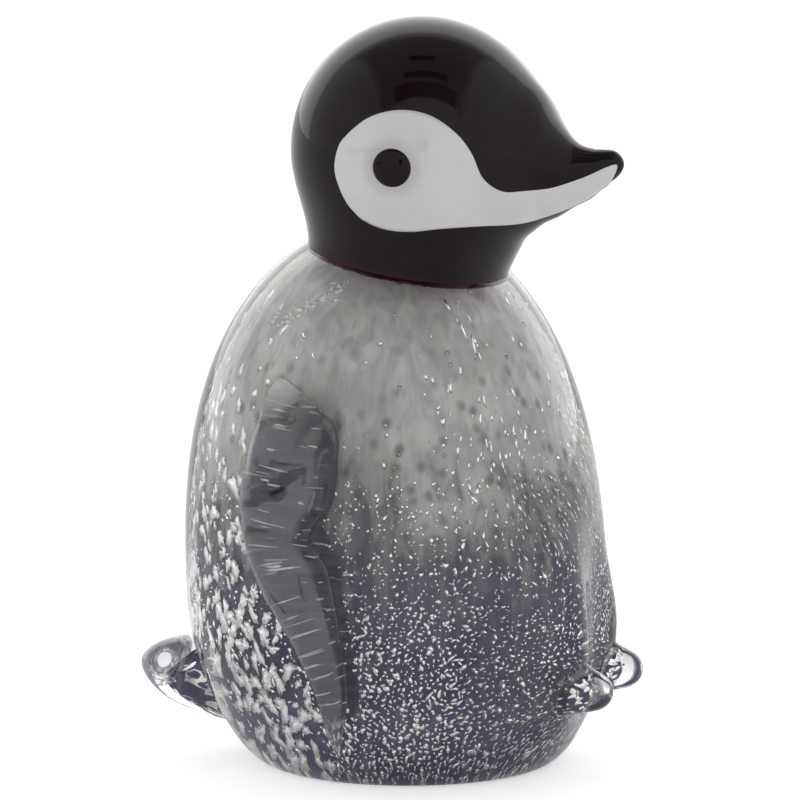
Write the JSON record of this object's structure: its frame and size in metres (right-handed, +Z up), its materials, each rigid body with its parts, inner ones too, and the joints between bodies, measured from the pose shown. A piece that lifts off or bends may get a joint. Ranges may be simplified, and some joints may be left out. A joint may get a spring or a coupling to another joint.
{
  "type": "penguin figurine",
  "caption": "Penguin chick ornament of solid glass with a black head, white cheeks and a flat base, made to stand on a shelf.",
  "frame": {"origin": "centre of the flat base, on the surface that the figurine stands on", "axes": "+Z up; the beak points along -Y; the penguin's own right side is -X"},
  "size_m": [0.0916, 0.1013, 0.1508],
  "materials": {
    "clear_glass": "clear hot-worked glass, fire polished",
    "grey_glass": "grey-violet glass under the clear casing",
    "white_glass": "milky white enamel glass, uneven",
    "silver_leaf": "crackled silver leaf",
    "black_glass": "black glass with a deep violet-brown tint, glossy",
    "opal_white_glass": "opaque white glass, glossy"
  },
  "bodies": {
    "root": {"clear_casing": "clear_glass", "grey_core": "grey_glass", "white_veil": "white_glass", "silver_leaf": "silver_leaf", "head": "black_glass", "right_face_patch": "opal_white_glass", "left_face_patch": "opal_white_glass", "right_eye": "black_glass", "left_eye": "black_glass", "right_wing": "clear_glass", "left_wing": "clear_glass", "right_foot": "clear_glass", "left_foot": "clear_glass", "tail": "clear_glass"}
  },
  "joints": []
}
